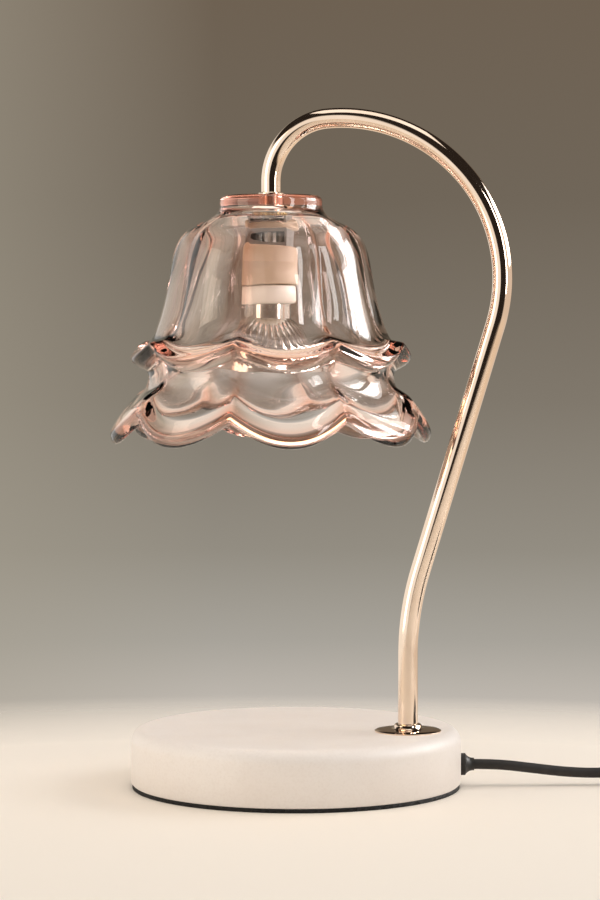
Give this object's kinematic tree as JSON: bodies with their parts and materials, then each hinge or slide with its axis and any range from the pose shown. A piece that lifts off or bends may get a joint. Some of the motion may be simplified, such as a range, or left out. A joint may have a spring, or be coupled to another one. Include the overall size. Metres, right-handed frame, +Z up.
{
  "type": "candle warmer lamp",
  "caption": "Table lamp with a round stone base, one bent gold tube and a two-tier petalled glass shade over a downward reflector bulb, with a dimmer dial in the cord.",
  "frame": {"origin": "middle of the foot pad's underside, on the surface the lamp stands on", "axes": "+Z up along the base's axis, +X from the base's axis to the foot of the post, +Y completes a right-handed frame"},
  "size_m": [0.3921, 0.15, 0.307],
  "materials": {
    "stone": "honed white marble, satin",
    "foot_rubber": "matte foam rubber",
    "gold_plate": "polished rose gold plate over steel",
    "zinc": "bright zinc plate",
    "brass": "plain brass",
    "gasket": "translucent silicone",
    "ceramic": "unglazed steatite",
    "bulb_base": "milky pressed glass",
    "reflector_glass": "silvered fluted glass",
    "lens_glass": "clear, lightly warm",
    "quartz": "clear quartz",
    "shade_glass": "clear pressed glass, faint peach tint, fire polished",
    "cord_jacket": "matte black cord jacket",
    "black_plastic": "fine satin",
    "wire_insulation": "glass-fibre sleeve",
    "splice_cap": "heat-resisting nylon",
    "inner_steel": "plain",
    "board": "laminate board"
  },
  "bodies": {
    "lamp": {"foot_pad": "foot_rubber", "escutcheon": "gold_plate", "arm_tube": "gold_plate", "lower_stud": "zinc", "post_washer": "zinc", "lock_washer": "zinc", "post_nut": "brass", "head_nipple": "zinc", "top_ring": "gold_plate", "upper_gasket": "gasket", "lower_gasket": "gasket", "clamp_washer": "zinc", "shade_nut": "brass", "holder_bracket": "inner_steel", "bracket_nut": "zinc", "bracket_screws": "zinc", "holder_body": "ceramic", "holder_cover": "ceramic", "holder_contacts": "brass", "glass_shade": "shade_glass", "cord_gland": "black_plastic", "cord_inner": "cord_jacket", "cord_clamp": "black_plastic", "clamp_screws": "zinc", "base_disc": "stone", "lead_wires": "wire_insulation", "crimp_splices": "splice_cap", "cord_conductors": "wire_insulation", "cord_lead": "cord_jacket", "cord_coil": "cord_jacket", "coil_tie": "black_plastic", "dimmer_base": "black_plastic", "dimmer_cover": "black_plastic", "dimmer_board": "board", "dimmer_screws": "zinc", "plug_body": "black_plastic", "plug_blades": "brass"},
    "bulb": {"bulb_cap": "bulb_base", "bulb_pins": "inner_steel", "bulb_reflector": "reflector_glass", "bulb_lens": "lens_glass", "bulb_burner": "quartz"},
    "dial": {"dimmer_knob": "black_plastic", "dimmer_shaft": "inner_steel"}
  },
  "joints": [
    {"name": "bulb_twist", "type": "hinge", "parent": "lamp", "child": "bulb", "pos_m": [-0.01163, 0, 0.21], "axis": [0, 0, 1], "range_deg": [0, 20]},
    {"name": "dimmer_turn", "type": "hinge", "parent": "lamp", "child": "dial", "pos_m": [0.19608, 0.05254, 0.015], "axis": [0, 0, 1], "range_deg": [0, 270]}
  ]
}
